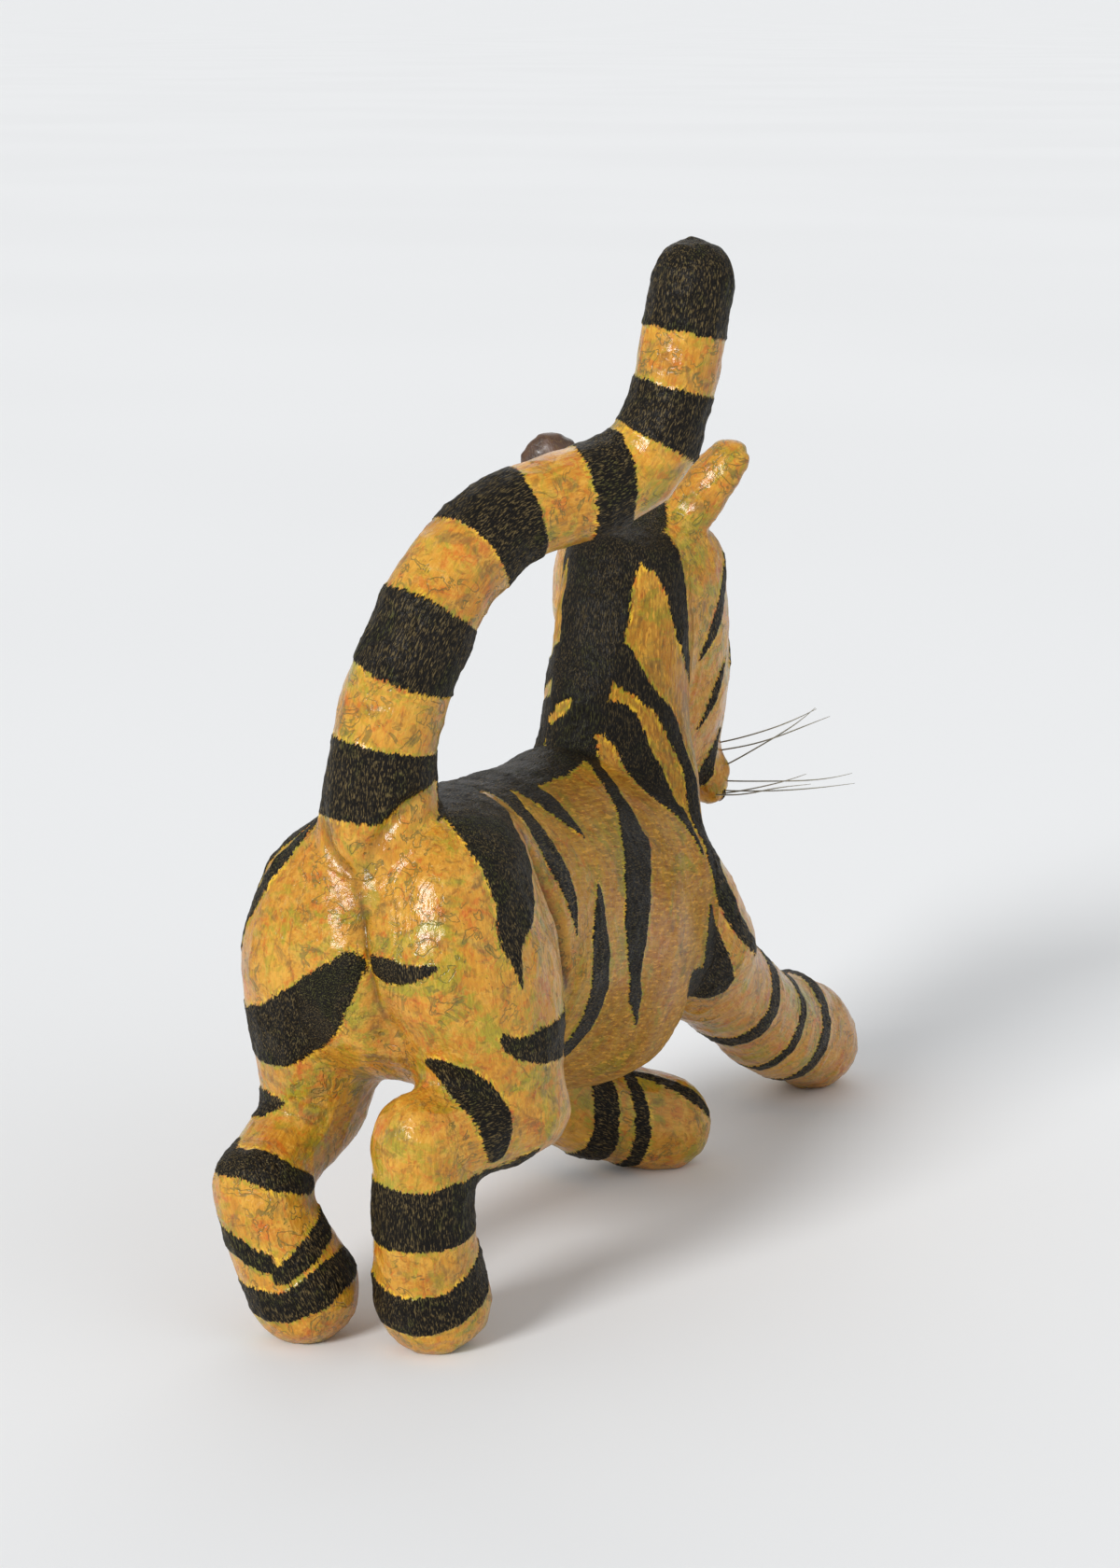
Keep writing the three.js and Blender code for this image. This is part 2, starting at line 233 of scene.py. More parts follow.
def laid_on(surface, stroke):
    """A stroke drawn smoothly through its knots, each of its points on the skin."""
    line = smooth_line(stroke, 6)
    places = [surface.find_nearest(Vector(place))[0] for place in line[:, :3].tolist()]
    return np.hstack([np.array(places), line[:, 3:]])


def mirrored(stroke, middle=0):
    return [(forward, 2 * middle - left, *rest) for forward, left, *rest in stroke]


# ---- the black paint

# Strokes of black: forward, left, up and half-width. These are mirrored for the left side.
SIDE_STRIPES = [
    [(112, -8, 262, 12), (104, -28, 258, 11), (97, -43, 248, 10), (96, -54, 234, 9), (96, -60, 221, 8),
     (96, -65, 208, 5), (96, -67, 194, 1)],
    [(135, -12, 260, 12), (136, -32, 252, 10), (138, -43, 243, 6), (142, -51, 233, 1)],
    [(240, -8, 256, 10), (216, -38, 241, 11), (198, -53, 226, 12), (181, -63, 208, 13), (169, -69, 190, 13),
     (165, -70, 174, 10), (166, -70, 162, 7), (169, -68, 149, 5), (175, -66, 137, 4), (182, -63, 125, 1)],
    [(132, -64, 211, 1), (127, -67, 198, 6), (125, -68, 185, 9), (127, -67, 170, 10), (129, -64, 155, 10),
     (131, -59, 140, 8), (130, -51, 128, 7), (131, -38, 115, 3)],
    [(246, -7, 270, 5), (253, -17, 273, 9), (256, -26, 261, 10), (256, -36, 243, 11), (262, -47, 228, 8),
     (265, -52, 220, 5), (262, -60, 208, 3), (261, -65, 199, 1)],
    [(256, -14, 308, 9), (264, -23, 297, 10), (269, -29, 289, 8), (276, -36, 276, 6), (282, -43, 258, 6),
     (284, -50, 238, 5), (281, -56, 224, 7), (276, -62, 210, 8), (273, -69, 194, 8), (276, -74, 179, 7),
     (285, -77, 162, 6), (298, -79, 148, 5), (314, -76, 134, 2)],
    [(298, -20, 358, 15), (300, -32, 340, 9), (301, -35, 322, 8), (306, -37, 300, 6), (318, -35, 284, 2)],
    [(60, -10, 266, 18), (50, -28, 263, 24), (36, -47, 256, 24), (31, -58, 242, 23), (24, -67, 229, 16),
     (14, -71, 216, 10), (10, -74, 205, 5), (11, -78, 188, 1)],
    [(2, -73, 164, 3), (7, -76, 159, 5), (15, -80, 157, 7), (26, -83, 156, 9), (42, -84, 156, 10),
     (60, -78, 158, 10)],
]
# The spine, the stripes that are on one side only, and the middle of the face.
LONE_STRIPES = [
    [(34, 0, 262, 13), (60, 0, 266, 18), (104, 0, 264, 19), (150, 0, 260, 22), (200, 2, 258, 21),
     (228, 4, 266, 20), (248, 2, 285, 18), (262, 1, 320, 20), (280, 2, 350, 22), (302, 4, 374, 27),
     (320, 6, 386, 22)],
    [(-17, -6, 203, 4), (-23, 3, 192, 10), (-18, 21, 172, 16), (-11, 42, 157, 17), (1, 65, 151, 14),
     (14, 73, 150, 9), (30, 75, 152, 4)],
    [(-16, -8, 199, 7), (-22, -24, 198, 6), (-22, -34, 198, 5), (-21, -48, 202, 1)],
    [(22, 25, 262, 2), (9, 38, 254, 4), (1, 47, 241, 5), (-1, 57, 226, 6), (-1, 63, 210, 4),
     (-1, 66, 196, 1)],
    [(262, -72, 172, 1), (263, -72, 159, 6), (272, -70, 142, 10), (280, -67, 127, 13), (288, -64, 116, 13)],
    [(284, -62, 116, 12), (268, -65, 124, 10), (254, -66, 132, 7), (246, -66, 136, 3)],
    [(-16, -36, 148, 1), (-12, -42, 149, 4), (-7, -50, 146, 7), (-3, -58, 138, 9), (0, -66, 126, 10),
     (1, -70, 115, 9), (2, -68, 108, 6)],
    [(16, 69, 110, 8), (6, 62, 113, 7), (1, 48, 117, 1)],
    [(-16, 72, 96, 7), (-26, 64, 92, 8), (-28, 47, 91, 9), (-19, 33, 84, 7), (-6, 28, 80, 4)],
    [(-22, 70, 57, 6), (-33, 60, 53, 7), (-36, 48, 49, 6), (-36, 40, 46, 5), (-35, 36, 45, 2)],
    [(2, 22, 66, 5), (-10, 21, 59, 5.5), (-23, 22, 51, 5.5), (-33, 31, 40, 4.5)],
    [(-20, 60, 26, 7), (-31, 49, 24, 8), (-35, 31, 24, 8), (-29, 18, 30, 9), (-18, 11, 37, 9),
     (2, 12, 41, 8)],
    [(298, -8, 58, 2), (310, -19, 54, 4), (319, -31, 47, 5), (326, -39, 39, 5), (331, -43, 31, 2)],
    [(262, 70, 120, 2), (256, 76, 108, 7), (262, 74, 92, 9), (272, 62, 80, 5)],
    [(340, 7, 384, 14), (356, 8, 366, 6), (368, 8, 352, 4)],
    [(386, 9, 334, 3), (394, 10, 318, 3.5), (400, 10, 304, 1)],
    [(415, 8, 230, 2), (409, 8, 215, 2.2), (396, 8, 203, 2.4)],
]
# Half of the face: cheeks, brow, forehead and mouth.
FACE_STRIPES = [
    [(352, -40, 350, 2), (345, -42, 328, 5), (338, -40, 309, 4), (332, -36, 294, 1)],
    [(362, -38, 290, 1), (354, -36, 272, 3), (353, -26, 250, 1)],
    [(388, -26, 242, 2), (384, -23, 228, 5), (380, -21, 212, 7), (380, -17, 198, 6)],
    [(368, -4, 352, 4), (362, -16, 350, 4), (352, -27, 346, 1)],
    [(380, 0, 338, 3.5), (374, -14, 338, 4), (364, -26, 338, 1)],
    [(388, -26, 318, 2), (382, -34, 300, 4), (376, -36, 282, 1)],
    [(394, -24, 296, 1), (402, -16, 289, 3), (410, -7, 278, 3), (415, 1, 266, 1)],
    [(386, -32, 276, 1), (398, -22, 270, 3), (408, -14, 260, 3), (415, -7, 248, 1)],
    [(400, -22, 204, 1.5), (408, -14, 196, 2.2), (408, -5, 196, 2.4), (396, 8, 203, 2.4)],
]
# Bands round the tail: first and last distance along it.
TAIL_BANDS = [(34, 70), (103, 139), (174, 210), (286, 314), (341, 420)]
# Bands that lie in a plane: shells, the plane's direction, its place and half-width.
SLICES = [
    (("tail_arch_shell",), (0.7, -0.7, 0.15), 190, 11),
    (("foot_right_shell", "shank_right_shell"), (-0.12, 0, 1), 81, 16),
    (("foot_right_shell",), (-0.6, 0, 1), 37, 12.5),
    (("forearm_right_shell",), (1, 0, -0.27), 349, 7.5),
    (("forearm_right_shell",), (1, 0, -0.3), 400, 6),
    (("forearm_right_shell",), (1, 0, -0.2), 448, 8),
    (("forearm_left_shell", "upper_arm_left_shell"), (0.86, -0.52, 0), 236, 8.0),
    (("forearm_left_shell",), (0.86, -0.52, 0.02), 259, 4.5),
]
# Ochre left standing inside the black. The last three are on the left of the neck.
ISLANDS = [
    [(-8, -8, 261, 5), (-4, -14, 261, 7), (2, -22, 268, 8), (14, -26, 273, 8), (20, -28, 280, 3)],
    [(247, -11, 263, 2), (247, -15, 259, 4), (240, -26, 247, 9), (230, -40, 238, 14), (222, -54, 220, 16)],
    [(260, -21, 283, 2), (266, -31, 273, 5), (271, -39, 253, 6), (271, -46, 238, 5), (269, -51, 226, 2)],
    [(287, -25, 347, 2), (285, -27, 335, 7), (281, -28, 318, 13), (283, -31, 303, 16), (294, -39, 282, 14),
     (302, -44, 260, 12)],
    [(250, 16, 270, 2), (246, 10, 277, 4), (245, 4, 283, 1)],
    [(286, 26, 352, 2), (282, 27, 338, 5), (275, 27, 320, 6), (270, 30, 304, 4)],
    [(262, 34, 276, 5), (266, 44, 254, 8), (262, 54, 226, 10)],
]


def all_strokes():
    other_cheek = [mirrored(stroke, HEAD_MIDDLE) for stroke in FACE_STRIPES]
    return [*SIDE_STRIPES, *map(mirrored, SIDE_STRIPES), *LONE_STRIPES, *FACE_STRIPES, *other_cheek]


def eye_middles():
    """The middle of each eye, in the tiger's millimetres."""
    return to_tiger([middle_of("eye_right"), middle_of("eye_left")])


def ink_on(points, nodes, measures, surface):
    """How far inside the black each point lies, in millimetres, with its edge left wavy."""
    ink = np.full(len(points), -99.0)
    for stroke in all_strokes():
        ink = np.maximum(ink, reach_of(points, laid_on(surface, stroke)))
    on_tail = is_along(nodes, "tail")
    for first, last in TAIL_BANDS:
        inside = (last - first) / 2 - np.abs(measures[on_tail, 2] - (first + last) / 2)
        ink[on_tail] = np.maximum(ink[on_tail], inside)
    for names, direction, place, half in SLICES:
        on_limb = is_on(nodes, *names)
        across = points[on_limb] @ direction
        ink[on_limb] = np.maximum(ink[on_limb], half - np.abs(across - place))
    for island in ISLANDS:
        ink = np.minimum(ink, -reach_of(points, laid_on(surface, island)))
    for eye in eye_middles():
        away = np.linalg.norm(points - eye, axis=1)
        ink = np.maximum(ink, 1.8 - np.abs(away - EYE_RING_RADIUS + 1))
    wavy = np.where(is_on(nodes, *FACE_NODES), 0.45, 1)
    return ink + wavy * (1.1 * noise(points, 11, seed=3) + 0.5 * noise(points, 4, seed=4))


# ---- the skin's shape

# Creases: half-width, depth, darkness of the painted shade in them, and the line they follow.
CREASES = [
    (9, 6, 0.25, [(-12, -3, 236), (-19, -8, 208), (-21, -12, 190), (-17, -17, 170), (-4, -18, 150)]),
    (2.4, 2.6, 0.8, [(-12, -3, 232), (-19, -8, 208), (-21, -12, 190), (-17, -17, 170)]),
    (4, 3.2, 0.5, [(2, 18, 272), (-5, 13, 250), (-10, 2, 238), (-14, -4, 228)]),
    (4, 3.2, 0.5, [(16, -24, 284), (-2, -18, 270), (-9, -8, 252), (-12, -4, 238)]),
    (3.4, 5.5, 1, [(70, -47, 248), (74, -56, 230), (78, -63, 207), (81, -67, 188), (90, -65, 168)]),
    (3.4, 5.5, 1, [(70, 47, 248), (75, 57, 230), (79, 65, 206), (81, 68, 184)]),
    (6, 3, 0.5, [(240, -66, 144), (252, -62, 130), (264, -56, 116), (278, -48, 104)]),
]
# Swellings and hollows: the line they follow, their radius and height.
SWELLINGS = [
    ([(40, 0, 258), (100, 0, 262), (150, 0, 258), (200, 0, 254)], 30, 2),
    ([(222, 8, 260), (246, 10, 282)], 28, 9),
    ([(30, -26, 246), (62, -32, 252)], 30, 11), ([(14, 28, 246), (40, 32, 250)], 30, 8),
    ([(-14, -44, 200)], 34, 4), ([(-8, 48, 200)], 34, 4), ([(70, -80, 180)], 26, 4),
    ([(286, 40, 268), (290, 42, 300), (300, 40, 345)], 28, -7),
    ([(276, -66, 200), (290, -68, 168), (304, -66, 140)], 28, 9), ([(292, -50, 236)], 22, 6),
    ([(200, -44, 104), (236, -36, 104)], 28, 7),
    ([(470, -40, 70), (500, -42, 56)], 28, 9), ([(400, -36, 44), (440, -36, 30)], 22, 4),
    ([(352, -32, 352)], 26, 8), ([(352, 46, 352)], 26, 8),
    ([(362, -42, 310)], 24, 3), ([(362, 58, 310)], 24, 3),
    ([(362, -30, 262)], 22, 4), ([(362, 46, 262)], 22, 4),
    ([(394, -24, 214), (388, -20, 202)], 20, 8), ([(392, 42, 214), (386, 38, 202)], 20, 8),
    ([(342, -28, 380), (350, -42, 402)], 16, 4), ([(324, 40, 382), (318, 52, 404)], 16, 4),
    ([(356, -36, 393)], 10, -5), ([(330, 49, 392)], 12, -5),
]
# Places the skin is carried to one side: middle, radius, and the way it goes.
MOVES = [
    ((118, -90, 440), 40, (3, -5, -1)),
    ((338, -30, 395), 24, (0, -2, 4)), ((322, 44, 395), 24, (0, 0, 4)),
    ((394, -16, 200), 22, (2, -3, -11)), ((392, 34, 200), 22, (2, 3, -11)),
]
EYE_RING_RADIUS = 13


def summed(places, values, count):
    """Adds up rows of values that go to the same place."""
    return np.stack([np.bincount(places, column, count) for column in values.T], 1)


class Skin:
    """An even mesh of quads: points in the tiger's millimetres, faces and edges."""

    def __init__(self, mesh):
        self.points = to_tiger(read(mesh.vertices, "co", 3))
        corners = np.empty(len(mesh.loops), np.int32)
        mesh.loops.foreach_get("vertex_index", corners)
        self.faces = corners.reshape(-1, 4)
        self.edges = read(mesh.edges, "vertices", 2, np.int32)
        self.touching = np.bincount(self.edges.ravel(), minlength=len(self.points))[:, None]

    def mean_round(self, values):
        """The mean of each point's neighbours."""
        a, b = self.edges.T
        return (summed(a, values[b], len(values)) + summed(b, values[a], len(values))) / self.touching

    def smooth(self, passes, amount):
        for _ in range(passes):
            self.points += amount * (self.mean_round(self.points) - self.points)

    def normals(self):
        a, b, c, d = (self.points[self.faces[:, i]] for i in range(4))
        across = np.repeat(np.cross(c - a, d - b), 4, axis=0)
        total = summed(self.faces.ravel(), across, len(self.points))
        return total / np.linalg.norm(total, axis=1)[:, None]

    def push(self, height):
        self.points += self.normals() * height[:, None]

    def mesh(self):
        made = bpy.data.meshes.new("skin")
        made.from_pydata(to_row(self.points).tolist(), [], self.faces.tolist())
        return made

    def surface(self):
        return BVHTree.FromPolygons(self.points.tolist(), self.faces.tolist())


def placed(name, data):
    """An object in the scene that holds this mesh, lamp or camera."""
    made = bpy.data.objects.new(name, data)
    bpy.context.scene.collection.objects.link(made)
    return made


def rounded(name, mesh):
    """An object in the scene that holds this mesh, shaded smooth."""
    mesh.polygons.foreach_set("use_smooth", [True] * len(mesh.polygons))
    return placed(name, mesh)


def add_field(mesh, name, values):
    """Stores a number or a vector for each of a mesh's points."""
    kind, field = ("FLOAT_VECTOR", "vector") if values.ndim > 1 else ("FLOAT", "value")
    layer = mesh.attributes.new(name, kind, "POINT")
    layer.data.foreach_set(field, values.astype(np.float32).ravel())


def read(items, name, width, kind=np.float32):
    values = np.empty(len(items) * width, kind)
    items.foreach_get(name, values)
    return values.reshape(-1, width)


def evaluated(mesh, kind, **settings):
    """A mesh as one modifier leaves it."""
    holder = placed("holder", mesh)
    modifier = holder.modifiers.new("modifier", kind)
    for name, value in settings.items():
        setattr(modifier, name, value)
    graph = bpy.context.evaluated_depsgraph_get()
    made = bpy.data.meshes.new_from_object(holder.evaluated_get(graph))
    bpy.data.objects.remove(holder)
    return made


def shells_together():
    """All the shells in one mesh, and a way to find the shell nearest to each of many points."""
    together = bmesh.new()
    owners = []
    for index, node in enumerate(NODES):
        together.from_mesh(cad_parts[node].data)
        owners += [index] * (len(together.faces) - len(owners))
    mesh = bpy.data.meshes.new("shells")
    together.to_mesh(mesh)
    tree = BVHTree.FromBMesh(together)
    together.free()

    def nearest(points):
        found = (tree.find_nearest(Vector(place))[2] for place in to_row(points).tolist())
        return np.array(owners)[np.fromiter(found, int, len(points))]

    return mesh, nearest


def connected(count, a, b):
    """A number for each of count things, the same for all that the pairs (a, b) join together."""
    group = np.arange(count)
    while True:
        lower = group.copy()
        np.minimum.at(lower, a, group[b])
        np.minimum.at(lower, b, group[a])
        lower = lower[lower]
        if (lower == group).all():
            return group
        group = lower


def largest_body(mesh):
    """The mesh without any loose body inside it."""
    group = connected(len(mesh.vertices), *read(mesh.edges, "vertices", 2, np.int32).T)
    body = bmesh.new()
    body.from_mesh(mesh)
    largest = np.bincount(group).argmax()
    loose = [vertex for vertex in body.verts if group[vertex.index] != largest]
    bmesh.ops.delete(body, geom=loose, context="VERTS")
    body.to_mesh(mesh)
    body.free()
    return mesh


def model_shape(skin, nodes):
    """Rounds the joins between the shells and models the swellings and hollows."""
    for _ in range(14):
        skin.smooth(1, 0.5)
        skin.smooth(1, -0.52)
    at_join = np.zeros((len(skin.points), 1))
    first, second = nodes[skin.edges].T
    at_join[skin.edges[first != second]] = 1
    spread = at_join
    for _ in range(5):
        spread = np.maximum(skin.mean_round(spread), at_join)
    for _ in range(3):
        spread = skin.mean_round(spread)
    skin.smooth(14, 0.5 * np.clip(spread * 1.4, 0, 1))
    height = np.full(len(skin.points), FULLNESS)
    for line, radius, tall in SWELLINGS:
        height += tall * np.exp(-(away_from(skin.points, [line[0], *line]) / radius) ** 2 * 1.5)
    skin.push(height)
    for place, radius, way in MOVES:
        near = np.exp(-(np.linalg.norm(skin.points - place, axis=1) / radius) ** 2)
        skin.points += near[:, None] * way
    skin.smooth(2, 0.35)


def crease_and_painted_shade(skin, surface):
    """Presses the creases into the skin, and gives back the painted shade each point takes from them."""
    height = np.zeros(len(skin.points))
    shade = np.zeros(len(skin.points))
    for width, depth, dark_as_painted_shade, line in CREASES:
        line = laid_on(surface, line)[:, :3]
        away = away_from(skin.points, line)
        for end in (line[0], line[-1]):
            depth = depth * smoothstep(0, 18, np.linalg.norm(skin.points - end, axis=1))
        height -= depth * np.exp(-(away / width) ** 2)
        # painted shade along each crease, darkest on its line
        shade = np.maximum(shade, np.exp(-(away / (0.9 * width)) ** 2) * dark_as_painted_shade)
    skin.push(height)
    skin.smooth(4, 0.3)
    return shade


def model_face(skin):
    """Brows, eye sockets, nose bridge and mouth, round where the eyes, pads and nose are."""
    height = np.zeros(len(skin.points))
    for eye in eye_middles():
        distance = np.linalg.norm(skin.points - eye, axis=1)
        height += 2.6 * np.exp(-((distance - EYE_RING_RADIUS) / 3.5) ** 2)
        height -= 3.0 * np.exp(-(distance / 8) ** 2)
        brow = eye + (-8, 0, 19)
        height += 4.0 * np.exp(-(np.linalg.norm(skin.points - brow, axis=1) / 13) ** 2)
    bridge = [(396, 11, 318), (406, 11, 290), (414, 12, 258), (415, 11, 232)]
    height += 3.5 * np.exp(-(away_from(skin.points, bridge) / 9) ** 2)
    skin.push(height)


def relief(points, ink, measures, nodes):
    """The height of the paper's lumps, wrinkles, brush strokes and thick black paint."""
    lumpy = np.where(is_on(nodes, "chest_shell", "neck_shell"), 0.45, 1.0)
    height = 0.8 * lumpy * noise(points, 24, seed=1, octaves=2)
    ridge = 1 - np.abs(noise(points, 13, seed=5)) * 2
    height += 0.55 * lumpy * np.clip(ridge, 0, 1) ** 2
    height += 0.22 * lumpy * noise(points, 4.5, seed=7)
    strokes = measures * (1, 1, 0.16)
    hair = noise(strokes, 1.7, seed=6)
    black = smoothstep(-0.6, 0.6, ink)
    height += 0.14 * hair
    height += black * (BAND_RELIEF + 0.32 * noise(strokes, 2.4, seed=8) + 0.22 * noise(points, 2.2, seed=9))
    return height


# ---- cutting the skin into pieces

def sides_of(faces, point_count):
    """Where each side of each quad starts and ends, and a number it shares with the quad across it."""
    start, end = faces.ravel(), np.roll(faces, -1, axis=1).ravel()
    return start, end, np.minimum(start, end).astype(np.int64) * point_count + np.maximum(start, end)


def neighbours_of_faces(faces, point_count):
    """For each quad, the four quads across its sides."""
    order = np.argsort(sides_of(faces, point_count)[2], kind="stable")
    a, b = order[0::2], order[1::2]
    across = np.empty(faces.size, int)
    across[a] = b // 4
    across[b] = a // 4
    return across.reshape(-1, 4)


def settle(labels, across, passes):
    """Straightens the borders between labels: a face takes the label that most of its neighbours have."""
    for _ in range(passes):
        around = labels[across]
        votes = np.stack([(around == around[:, [i]]).sum(1) for i in range(4)], 1)
        winner = np.take_along_axis(around, votes.argmax(1)[:, None], 1)[:, 0]
        change = (votes.max(1) >= 3) & (winner != labels)
        labels = np.where(change, winner, labels)
    return labels


def join_islands(labels, across):
    """Gives each loose patch of a label to the label round it, so that a piece is one body."""
    for _ in range(4):
        face, side = np.nonzero(labels[across] == labels[:, None])
        group = connected(len(labels), face, across[face, side])
        size = np.bincount(group, minlength=len(labels))
        largest = np.zeros(len(NODES), int)
        np.maximum.at(largest, labels, size[group])
        loose = size[group] < largest[labels]
        if not loose.any():
            break
        while loose.any():
            around = across[loose]
            settled = ~loose[around]
            pick = settled.argmax(1)
            ready = settled.any(1)
            faces = np.where(loose)[0][ready]
            if not len(faces):
                break
            labels[faces] = labels[around[ready, pick[ready]]]
            loose[faces] = False
    return labels


def closed_piece(name, points, faces, normals, attributes):
    """One piece: its faces, with its edge turned inward and closed behind."""
    used, faces = np.unique(faces, return_inverse=True)
    faces = faces.reshape(-1, 4)
    points, normals = points[used], normals[used]
    start, end, key = sides_of(faces, len(used))
    _, back, count = np.unique(key, return_inverse=True, return_counts=True)
    border = count[back] == 1
    a, b = start[border], end[border]
    rim, ends = np.unique(np.r_[a, b], return_inverse=True)
    first, second = ends.reshape(2, -1)
    a_inner, b_inner = first + len(used), second + len(used)
    inner = points[rim] - normals[rim] * RIM_DEPTH
    centres, loop_of = np.unique(connected(len(rim), first, second), return_inverse=True)
    middles = summed(loop_of, inner, len(centres)) / np.bincount(loop_of)[:, None]
    middle_of_edge = loop_of[first] + len(used) + len(rim)
    all_points = np.vstack([points, inner, middles])
    quads = np.vstack([faces, np.stack([b, a, a_inner, b_inner], 1)])
    triangles = np.stack([b_inner, a_inner, middle_of_edge], 1)
    mesh = bpy.data.meshes.new(name)
    mesh.from_pydata(to_row(all_points).tolist(), [], quads.tolist() + triangles.tolist())
    piece = rounded(name, mesh)
    behind = len(all_points) - len(used)
    for label, values in attributes.items():
        add_field(mesh, label, np.concatenate([values[used], np.zeros((behind, *values.shape[1:]))]))
    shading = np.vstack([turned_to_row(normals), np.zeros((behind, 3))])
    mesh.normals_split_custom_set_from_vertices(shading.tolist())
    return piece


# ---- materials

def colour(red, green, blue):
    """A colour given as its values from 0 to 255 on a screen."""
    shares = [value / 255 for value in (red, green, blue)]
    linear = [c / 12.92 if c < 0.04 else ((c + 0.055) / 1.055) ** 2.4 for c in shares]
    return (*linear, 1)


OCHRE = colour(190, 129, 34)
GOLD = colour(206, 150, 48)
RED_ORANGE = colour(194, 88, 24)
LIME = colour(150, 146, 34)
YELLOW = colour(236, 190, 50)
MOSS = colour(88, 92, 42)
GREY_BROWN = colour(124, 100, 52)
OLIVE = colour(146, 112, 34)
STRAW = colour(222, 174, 74)
AMBER = colour(230, 166, 58)
UMBER = colour(84, 54, 22)
BLACK = colour(17, 14, 10)
FLECK = colour(120, 102, 64)
CREAM = colour(230, 206, 146)
DARK_BROWN = colour(52, 32, 20)


class Shader:
    """A material and short ways to add nodes to it."""

    def __init__(self, name):
        self.material = bpy.data.materials.new(name)
        self.material.use_nodes = True
        self.tree = self.material.node_tree
        self.surface = self.tree.nodes["Principled BSDF"]

    def fill(self, node, sockets):
        """Sets a node's sockets, or links them where another node's output is given."""
        for name, value in sockets.items():
            if isinstance(value, bpy.types.NodeSocket):
                self.tree.links.new(value, node.inputs[name])
            else:
                node.inputs[name].default_value = value

    def node(self, kind, sockets, output, **settings):
        """Adds a node and gives back one of its outputs."""
        made = self.tree.nodes.new(kind)
        for name, value in settings.items():
            setattr(made, name, value)
        self.fill(made, sockets)
        return made.outputs[output]

    def place(self, scale=1, offset=(0, 0, 0)):
        """Where a point lies on the object, in metres times scale."""
        return self.moved(self.node("ShaderNodeTexCoord", {}, "Object"), (scale,) * 3, offset)

    def moved(self, vector, scale, offset=(0, 0, 0)):
        sockets = {"Vector": vector, "Scale": scale, "Location": offset}
        return self.node("ShaderNodeMapping", sockets, "Vector")

    def attribute(self, name, output="Fac"):
        return self.node("ShaderNodeAttribute", {}, output, attribute_name=name)

    def noise(self, vector, detail=2, roughness=0.5, distortion=0):
        sockets = {"Vector": vector, "Scale": 1, "Detail": detail, "Roughness": roughness}
        return self.node("ShaderNodeTexNoise", {**sockets, "Distortion": distortion}, "Fac")

    def mottle(self, scale, detail, low, high, out_low=0, out_high=1):
        """Noise over the object, taken from out_low at low to out_high at high."""
        return self.between(self.noise(self.place(scale), detail), low, high, out_low, out_high)

    def grained(self, grain, scale, offset, detail, low, high, out_high=1):
        """Marks in the lie of the hair, from none at low to out_high at high."""
        return self.between(self.noise(self.moved(grain, scale, offset), detail), low, high, 0, out_high)

    def between(self, value, low, high, out_low=0, out_high=1):
        """A smooth step from out_low at low to out_high at high."""
        sockets = {"Value": value, "From Min": low, "From Max": high, "To Min": out_low, "To Max": out_high}
        return self.node("ShaderNodeMapRange", sockets, "Result", interpolation_type="SMOOTHSTEP")

    def math(self, operation, a, b):
        return self.node("ShaderNodeMath", {0: a, 1: b}, 0, operation=operation)

    def times(self, a, b):
        return self.math("MULTIPLY", a, b)

    def mix(self, share, a, b, blend="MIX"):
        sockets = {"Factor": share, "A": a, "B": b}
        return self.node("ShaderNodeMix", sockets, "Result", data_type="RGBA", blend_type=blend)

    def paint(self, tint, roughness, others):
        """Sets the surface's colour, its roughness and other sockets."""
        self.fill(self.surface, {"Base Color": tint, "Roughness": roughness, **others})

    def bump(self, height, distance, strength, socket="Normal"):
        sockets = {"Height": height, "Distance": distance, "Strength": strength}
        self.fill(self.surface, {socket: self.node("ShaderNodeBump", sockets, "Normal")})


def patches(s, scale, offset, low, high, strength, stretch=None):
    """Where a coat of another colour shows: brushed patches with broken edges."""
    place = s.place(scale, offset) if stretch is None else s.moved(stretch, (scale,) * 3, offset)
    return s.between(s.noise(place, 5, 0.66, 0.9), low, high, 0, strength)


def brushed(s, ground, coats):
    """Patches of further colours over a ground, each given with what patches needs."""
    for tint, *where in coats:
        ground = s.mix(patches(s, *where), ground, tint)
    return ground


def ochre_ground(s, grain):
    """Ochre paint gone over with dabs of gold, red, lime and grey-brown."""
    return brushed(s, OCHRE, [
        (GOLD, 26, (1, 1, 0), 0.40, 0.60, 1),
        (GOLD, 0.16, (3, 0, 0), 0.52, 0.60, 0.55, grain),
        (RED_ORANGE, 38, (3, 0, 0), 0.56, 0.68, 0.6),
        (LIME, 34, (0, 5, 0), 0.52, 0.62, 0.75),
        (GREY_BROWN, 52, (0, 0, 7), 0.54, 0.64, 0.6),
        (RED_ORANGE, 0.35, (5, 2, 0), 0.59, 0.68, 0.45, grain),
    ])


def hair_strokes(s, ground, grain):
    """Short fine brush strokes in the lie of the hair, light, dark and in between."""
    soft = s.grained(grain, (0.5, 0.5, 0.8), (0, 0, 0), 3, 0.40, 0.62, 0.5)
    ground = s.mix(soft, ground, UMBER, "SOFT_LIGHT")
    ground = s.mix(s.grained(grain, (0.8, 0.8, 1.3), (0, 9, 0), 2, 0.55, 0.66, 0.42), ground, UMBER)
    return s.mix(s.grained(grain, (0.6, 0.6, 1.1), (9, 0, 0), 3, 0.56, 0.66, 0.6), ground, AMBER)


def dabs(s, ground):
    """Small wet dabs of several colours, worked into one another."""
    return brushed(s, ground, [
        (STRAW, 120, (4, 1, 0), 0.50, 0.60, 0.5),
        (LIME, 105, (7, 1, 0), 0.52, 0.62, 0.55),
        (RED_ORANGE, 130, (1, 9, 0), 0.55, 0.64, 0.6),
        (UMBER, 150, (1, 2, 9), 0.55, 0.64, 0.5),
    ])


